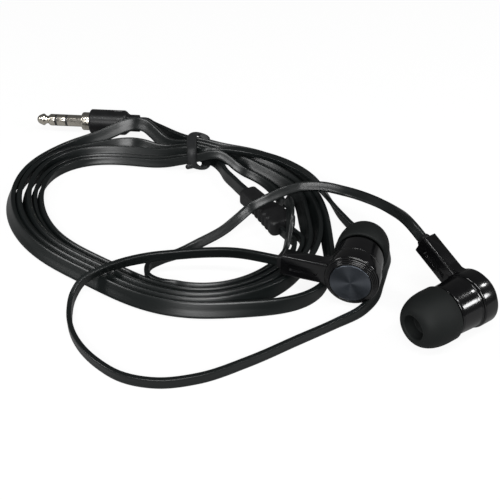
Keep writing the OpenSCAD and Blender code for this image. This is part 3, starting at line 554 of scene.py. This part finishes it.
# ------------------------------------------------------------------ ear tips
# Silicone domes, moulded in one with the sleeve that stretches over the nozzle's lip. They
# come off by hand to be washed or changed.
silicone = Finish("silicone", Roughness=0.6, IOR=1.42, Specular_IOR_Level=0.2)
bloom = silicone.noise(silicone.place(), 260, 4)
speck = silicone.noise(silicone.place(), 5200, 2)
silicone.feed("Base Color", silicone.blend(bloom, (0.0052, 0.0062, 0.006), (0.008, 0.0092, 0.009)))
silicone.feed("Roughness", 0.56 + bloom * 0.12)
silicone.bump(speck * 0.5 + bloom, 0.3, 0.00004)


def tip_profile():
    """Outline of an ear tip: the skirt's rim, a quarter ellipse outside up to the mouth, the
    mouth's steps and the sleeve, and a smaller quarter ellipse inside back to the rim."""
    back, dome_at, top, hollow = 10.6, 13.2, 19.4, 16.4
    outside, inside, mouth, sleeve = 6.3, 5.7, 3.25, 3.35
    rise = np.radians(np.linspace(0, 90, 40))[:, None]
    fall = rise[::-1]
    rim = rounded([[inside, back], [6.05, back], [outside, back + 0.4]], 0.2, 6, closed=False)
    outer = np.hstack([mouth + (outside - mouth) * np.cos(rise), dome_at + (top - dome_at) * np.sin(rise)])
    bore = rounded([[3.0, top - 0.06], [2.8, top - 0.3], [2.6, top - 2.9], [1.6, top - 3.3], [1.6, 14.4],
                    [2.6, 14.4], [2.6, 10.7], [sleeve, 10.7], [sleeve, 11.4]], 0.18, 6, closed=False)
    inner = np.hstack([sleeve + (inside - sleeve) * np.cos(fall),
                       hollow * np.sin(fall) + dome_at * (1 - np.sin(fall))])
    return np.vstack([rim, outer, bore, inner])


for side in ("left", "right"):
    tip = turned_piece(side + "_tip_dome", tip_profile(), side, silicone)
    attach(tip, side + "_tip")
    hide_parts(side + "_ear_tip")

# ------------------------------------------------------------------ glands
# A short soft collar, moulded on the cord and plugged into the stem's end, keeps the cord from
# bending sharply where it leaves the housing.
soft = Finish("soft_moulding", Roughness=0.46, IOR=1.5, Specular_IOR_Level=0.3)
fine = soft.noise(soft.place(), 7000, 2)
cloud = soft.noise(soft.place(), 330, 3)
soft.feed("Base Color", soft.blend(cloud, (0.004, 0.004, 0.0045), (0.009, 0.009, 0.0095)))
soft.feed("Roughness", 0.42 + cloud * 0.12)
soft.bump(fine, 0.4, 0.00004)


def oblong_loft(stations, corner, n=6):
    """Rings of rounded oblongs along X: each station gives x, half width, half height."""
    rings = [np.column_stack([np.full(4 * n, x), rounded([[w, h], [-w, h], [-w, -h], [w, -h]], corner, n)])
             for x, w, h in stations]
    return np.stack(rings)


gland_rings = oblong_loft([[14.2, 1.75, 1.05], [16.7, 1.75, 1.05], [17.1, 1.7, 1.0], [17.45, 1.6, 0.9],
                           [17.65, 1.5, 0.82], [17.78, 1.38, 0.72]], 0.5)
for side in ("left", "right"):
    gland = skin(side + "_gland", lay(side, gland_rings + [0, 0, 2]))
    gland.data.materials.append(soft.material)
    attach(gland, "main")
    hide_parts(side + "_cord_gland")

# ------------------------------------------------------------------ plug
# A 3.5 mm stereo plug: nickel-plated brass tip, ring and sleeve with its collar, black
# insulating rings between them, and a satin black grip moulded over the solder joints.
plated = Finish("nickel_plate", Metallic=1.0, Roughness=0.2)
dull = plated.noise(plated.place(), 900, 4)
turning = plated.noise(plated.run(), 1, 2, (9, 0.15, 1))
plated.feed("Base Color", plated.blend(dull, (0.54, 0.50, 0.43), (0.76, 0.72, 0.64)))
plated.feed("Roughness", 0.14 + dull * 0.12 + turning * 0.06)
plated.bump(turning, 0.15, 0.00002)


def lay_plug(p):
    """Points of the plug, drawn with its contacts along -X from the collar's face, where it lies."""
    c, s = math.cos(PLUG_TURN), math.sin(PLUG_TURN)
    return PLUG_AT + np.stack([p[..., 0] * c - p[..., 1] * s, p[..., 0] * s + p[..., 1] * c, p[..., 2]], -1)


def plug_turned(name, profile, node, finish, joined, sides=72):
    """A profile of distance in front of the collar and radius, turned about the plug's axis."""
    a = np.linspace(0, 2 * np.pi, sides, endpoint=False)
    x, r = profile[:, 0, None], profile[:, 1, None]
    piece = skin(name, lay_plug(np.stack([-x + 0 * a, r * np.cos(a), r * np.sin(a)], 2)), joined)
    piece.data.materials.append(finish.material)
    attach(piece, "main")
    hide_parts(node)
    return piece


contacts, bore, shaft, gap = 14, 1.15, 1.75, 0.6
front, rear = contacts * 0.545, contacts * 0.315
contact = plug_turned("contact_tip", rounded(
    [[front + gap, 0.05], [front + gap, shaft], [front + 2.2, shaft], [front + 2.9, bore],
     [front + 3.5, bore], [front + 4.2, shaft], [12.1, shaft], [13.3, 1.25], [13.85, 0.7],
     [contacts, 0.05]], 0.3, 6, closed=False), "plug_tip", plated, False)
ring_part = plug_turned("contact_ring", rounded(
    [[rear + gap, bore], [rear + gap, shaft], [front, shaft], [front, bore]], 0.08, 4),
    "plug_ring", plated, True)
collar = plug_turned("contact_sleeve", rounded(
    [[-5.6, bore], [-5.6, 2.3], [-2.6, 2.3], [-2.6, 2.7], [-0.45, 2.7], [-0.15, 2.55], [0, 2.2],
     [0, shaft], [rear, shaft], [rear, bore]], 0.12, 5), "plug_sleeve", plated, True)
dark = Finish("insulator", Roughness=0.4, IOR=1.5)
mottle = dark.noise(dark.place(), 1500, 2)
dark.feed("Base Color", dark.blend(mottle, (0.010, 0.010, 0.010), (0.02, 0.02, 0.02)))
rings = plug_turned("insulating_rings", rounded(
    [[-5.6, 0.3], [-5.6, 1.1], [rear, 1.1], [rear, 1.74], [rear + gap, 1.74], [rear + gap, 1.1],
     [front, 1.1], [front, 1.74], [front + 0.59, 1.74], [front + 0.59, 0.3]], 0.05, 4),
    "plug_insulators", dark, True)

grip_finish = Finish("satin_moulding", Roughness=0.34, IOR=1.5, Specular_IOR_Level=0.35)
rub = grip_finish.noise(grip_finish.place(), 500, 4)
grip_finish.feed("Base Color", grip_finish.blend(rub, (0.004, 0.004, 0.0045), (0.009, 0.009, 0.0095)))
grip_finish.feed("Roughness", 0.28 + rub * 0.14)
grip_finish.bump(grip_finish.noise(grip_finish.place(), 6000, 2), 0.3, 0.00003)


def grip_rings(n=96):
    """The grip's skin: rings along X whose outline passes from a circle at the collar to the
    flat cord's own oblong at the tail, as powers of a cosine and a sine, with a shallow panel
    pressed into the top and the bottom."""
    radius, edge, waist, tail, length = 3.7, 0.5, 10.2, 14.7, 15.0
    x = np.concatenate([[0, 0.04, 0.15, 0.32, edge], np.linspace(0.8, waist, 60),
                        np.linspace(10.4, 12.4, 24), np.linspace(12.6, tail, 12), [14.85, 14.95, length]])
    a = np.linspace(0, 2 * np.pi, n, endpoint=False)[None]

    def arc(v):
        """The height of a circle of radius 1 at v from its middle."""
        return np.sqrt(np.clip(1 - v ** 2, 0, 1))

    def soft_step(v):
        """A smooth step from 0 to 1: three times the square of v, less twice its cube."""
        v = np.clip(v, 0, 1)
        return v ** 2 * (3 - 2 * v)

    nose = arc(1 - np.clip(x / edge, 0, 1)) * edge + (radius - edge)
    into = soft_step((x - waist) / 2.0)
    end = arc(np.clip((x - tail) / 0.3, 0, 1)) * 0.2 - 0.2
    wide = (nose + (1.5 - nose) * into + end)[:, None]
    high = (nose + (2.5 - nose) * into + end)[:, None]
    power = (1 - 0.45 * into)[:, None]
    y = wide * np.sign(np.cos(a)) * np.abs(np.cos(a)) ** power
    z = high * np.sign(np.sin(a)) * np.abs(np.sin(a)) ** power
    across = soft_step((0.9 - np.abs(y)) / 0.16)
    lengthways = soft_step((1.5 - np.abs(x - 8.25))[:, None] / 0.16)
    panel = across * lengthways * (np.abs(z) > 2.4)
    return np.stack([x[:, None] + 0 * a, y, z - np.sign(z) * 0.28 * panel], 2)


grip = skin("grip", lay_plug(grip_rings() + [2.6, 0, 0]))
grip.data.materials.append(grip_finish.material)
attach(grip, "main")
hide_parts("plug_grip")

# ------------------------------------------------------------------ splitter
# A flat soft moulding over the soldered joints, wider where the two arms come out, with grip
# grooves across both edges.


def splitter_rings(n=14):
    """Rings of a rounded oblong along the splitter, whose half width follows its outline and
    dips by a round groove at each of five places."""
    length, shoulder, corner = 18.0, 16.8, 1.05
    x = np.concatenate([[0, 0.08, 0.25, 0.5, 0.8], np.linspace(1.1, 16.6, 200),
                        [17.0, 17.4, 17.7, 17.9, length]])
    half = np.interp(x, [0, 0.8, 6.3, shoulder], [2.5, 2.6, 2.7, 3.8])
    ends = np.sqrt(np.clip(1 - np.clip((x - shoulder) / 1.2, 0, 1) ** 2, 0, 1)) * 1.2 - 1.2
    nose = np.sqrt(np.clip(1 - np.clip(1 - x / 0.8, 0, 1) ** 2, 0, 1)) * 0.8 - 0.8
    thick = (2.2 + nose * 0.8 + ends * 0.35)[:, None]
    at = 15 - 1.9 * np.arange(5)[:, None]
    grooves = (0.42 * np.exp(-((x - at) / 0.42) ** 2)).sum(0)
    half = (half + nose + ends - grooves)[:, None]
    quarter = np.linspace(0, np.pi / 2, n)[None]
    quarters = []
    for start, sx, sy in ((0, 1, 1), (1, -1, 1), (2, -1, -1), (3, 1, -1)):
        a = quarter + start * np.pi / 2
        quarters.append(np.stack([sx * (half - corner) + corner * np.cos(a),
                                  sy * (thick - corner) + corner * np.sin(a)], 2))
    ring = np.concatenate(quarters, 1)
    return np.concatenate([x[:, None, None] + 0 * ring[:, :, :1], ring], 2)


moulding = splitter_rings()
splitter = skin("split_moulding", SPLIT_AT + moulding[..., :1] * SPLIT_WAY
                + moulding[..., 1:2] * SPLIT_SIDE + moulding[..., 2:] * np.array([0, 0, 1]))
splitter.data.materials.append(soft.material)
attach(splitter, "main")
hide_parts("splitter")

# ------------------------------------------------------------------ tie
# A soft plastic-coated wire, bent once round the whole bundle, its two ends twisted together
# at the inner side.
coated = Finish("tie_coating", Roughness=0.5, IOR=1.48, Specular_IOR_Level=0.35)
dusty = coated.noise(coated.place(), 600, 4)
coated.feed("Base Color", coated.blend(dusty, (0.009, 0.0095, 0.010), (0.02, 0.021, 0.022)))
coated.bump(coated.noise(coated.place(), 4200, 2), 0.4, 0.00005)


def tie_rings(n=28):
    """Rings of the tie's skin round the bundle, and the point where its twisted ends start.

    The loop is a rounded oblong about the coil's strands, square to them but for 8 degrees, and
    walked in even steps. Its far side is moved along the coil by a smooth step, which lays the
    loop askew. At the bundle's two sides the wire is thicker inwards, by the fourth power of
    the distance from the middle, where it is squeezed against the strands."""
    clear, coat, wire, squeeze, askew = 0.35, 0.8, 0.78, 0.65, 4
    core_out, core_in = 0.6 + clear, PITCH * 5 + 0.55 + clear
    x, y = (core_out + core_in) / 2 + coat, (MAIN_WIDE + 0.7) / 2 + coat
    corners = rounded([[x, y], [-x, y], [-x, -y], [x, -y]], 2.0, 22)
    dense = np.vstack([corners, corners[:1]])
    far = np.append(0, np.cumsum(np.linalg.norm(np.diff(dense, axis=0), axis=1)))
    even = np.linspace(0, far[-1], 121)[:-1]
    sideways = np.interp(even, far, dense[:, 0])[:, None]
    height = np.interp(even, far, dense[:, 1])[:, None]

    at = np.array([float(TIE_ANGLE)])
    middle = np.append(outline(at)[0] + (core_out - core_in) / 2 * outward(at)[0],
                       MAIN_WIDE / 2 + ON_TABLE + IN_TIE)
    way = outline(at + 1)[0] - outline(at - 1)[0]
    yaw = math.atan2(way[1], way[0]) + math.radians(8)
    across = np.array([math.sin(yaw), -math.cos(yaw), 0])
    normal = np.array([math.cos(yaw), math.sin(yaw), 0])
    squeezed = squeeze * (np.abs(sideways) / x) ** 4
    line = middle - (sideways - squeezed * np.sign(sideways)) * across + height * np.array([0, 0, 1])
    under = np.clip(0.5 - (height / y - sideways / x) / 1.4, 0, 1)
    line = line + askew * under ** 2 * (3 - 2 * under) * np.append(way / np.linalg.norm(way), 0)
    t = np.roll(line, -1, 0) - np.roll(line, 1, 0)
    t /= np.linalg.norm(t, axis=1)[:, None]
    away = np.cross(t, normal)[:, None]
    a = np.linspace(0, 2 * np.pi, n, endpoint=False)[None, :, None]
    rings = line[:, None] + 1.35 * np.cos(a) * normal + (wire + squeezed[..., None]) * np.sin(a) * away
    return rings, middle + x * across + np.array([0, 0, -0.5 * y])


def tube(path, radius, n=24):
    """Rings of a round tube along a nearly level path, its radius given point by point."""
    t = np.gradient(path, axis=0)
    t /= np.linalg.norm(t, axis=1)[:, None]
    side = np.cross(t, [0.2, 0.1, 0.97])
    side /= np.linalg.norm(side, axis=1)[:, None]
    up = np.cross(side, t)
    a = np.linspace(0, 2 * np.pi, n, endpoint=False)[None, :, None]
    return path[:, None] + radius[:, None, None] * (np.cos(a) * side[:, None] + np.sin(a) * up[:, None])


wound, knot = tie_rings()
tie = skin("tie_loop", wound, True)
tie.data.materials.append(coated.material)
ends = []
cap = np.linspace(0.1, 1.5, 9)
past = np.concatenate([[-1, -0.9, -0.7], np.linspace(-0.4, 1.2, 16), 1.3 + 0.7 * np.sin(cap)])
thickness = 0.704 * np.concatenate([[0.7, 0.9, 1], np.ones(16), np.cos(cap)])
for i, (heading, lift) in enumerate(((-68, 0), (-48, 0.5))):
    aim = np.array([math.sin(math.radians(heading)), -math.cos(math.radians(heading)), 0])
    end = skin("tie_end_%d" % i, tube(knot + np.array([0, 0, lift]) + past[:, None] * aim, thickness))
    end.data.materials.append(coated.material)
    ends.append(end)
for piece in (tie, *ends):
    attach(piece, "main")
    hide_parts("cable_tie")

# ------------------------------------------------------------------ parts inside
# The screens, drivers, diaphragms and knotted wires keep the solids' own shapes, each with the
# finish of its metal, film or magnet.


def metal(name, low, high, rough, scale):
    """A metal whose colour and polish vary a little over its surface."""
    finish = Finish(name, Metallic=1.0, Roughness=rough)
    cloudy = finish.noise(finish.place(), scale, 4)
    finish.feed("Base Color", finish.blend(cloudy, low, high))
    finish.feed("Roughness", rough - 0.05 + cloudy * 0.12)
    return finish


steel = metal("driver_steel", (0.42, 0.42, 0.43), (0.6, 0.6, 0.61), 0.34, 1200)
magnet = metal("magnet_plate", (0.24, 0.24, 0.26), (0.34, 0.34, 0.36), 0.28, 900)
winding = metal("copper_winding", (0.55, 0.26, 0.14), (0.78, 0.44, 0.27), 0.35, 1800)
film = Finish("diaphragm_film", Roughness=0.25, IOR=1.55)
creases = film.noise(film.place(), 700, 3)
film.feed("Base Color", film.blend(creases, (0.5, 0.5, 0.47), (0.66, 0.66, 0.62)))
inside = {"nozzle_screen": plated, "driver_basket": steel, "driver_yoke": steel, "driver_plate": steel,
          "driver_magnet": magnet, "voice_coil": winding, "cord_knot": winding, "diaphragm": film}


def coat(node, finish):
    """Gives a carried-over solid its finish."""
    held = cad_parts[node].data.materials
    held.clear()
    held.append(finish.material)


for side in ("left", "right"):
    for part, finish in inside.items():
        coat(side + "_" + part, finish)
coat("splitter_joints", winding)

# ------------------------------------------------------------------ table and light
# A plain white table under soft studio lamps. Only the camera sees the table and the world
# white, so that they throw little light back on the black parts.
plane = bpy.data.meshes.new("table")
reach, below = 3, -2e-5
plane.from_pydata([(-reach, -reach, below), (reach, -reach, below), (reach, reach, below),
                   (-reach, reach, below)], [], [(0, 1, 2, 3)])
table = bpy.data.objects.new("table", plane)
bpy.context.scene.collection.objects.link(table)
paper = Finish("white_table", Roughness=0.9)
seen = paper.node("ShaderNodeLightPath", out="Is Camera Ray")
paper.feed("Base Color", paper.blend(seen, (0.3, 0.3, 0.3), (0.9, 0.9, 0.9)))
matt, glow = Wire(paper.tree, paper.shader.outputs[0]), paper.node("ShaderNodeEmission")
mixed = paper.node("ShaderNodeMixShader", None, {0: seen * 0.9, 1: matt, 2: glow})
paper.tree.links.new(mixed.socket, paper.tree.nodes["Material Output"].inputs[0])
plane.materials.append(paper.material)

world = bpy.data.worlds.new("studio")
bpy.context.scene.world = world
world.use_nodes = True
sky = Nodes(world.node_tree)
backdrop = sky.tree.nodes["Background"]
backdrop.inputs["Color"].default_value = (1, 1, 1, 1)
strength = 0.1 + sky.node("ShaderNodeLightPath", out="Is Camera Ray") * 0.9
sky.tree.links.new(strength.socket, backdrop.inputs["Strength"])


def lamp(name, way, wide, deep, power):
    """A soft lamp of a width and depth in metres and a power in watts, 0.6 m from the middle of
    the object in a direction, its width kept level."""
    light = bpy.data.lights.new(name, "AREA")
    light.shape, light.size, light.size_y, light.energy = "RECTANGLE", wide, deep, power
    holder = bpy.data.objects.new(name, light)
    bpy.context.scene.collection.objects.link(holder)
    middle, away = Vector((-0.03, 0.02, 0)), 0.6
    way = Vector(way).normalized()
    holder.location = middle + way * away
    holder.rotation_euler = (-way).to_track_quat("-Z", "Y").to_euler()


lamp("top", (0.0, -0.35, 0.94), 0.5, 0.05, 2.0)
lamp("front", (-0.05, -0.84, 0.52), 0.34, 0.14, 2.6)
lamp("side", (0.85, -0.3, 0.43), 0.1, 0.1, 0.9)
lamp("right", (0.68, 0.12, 0.72), 0.05, 0.05, 0.6)
lamp("left", (-0.85, -0.15, 0.5), 0.16, 0.16, 1.1)
bpy.context.scene.view_settings.view_transform = "Standard"
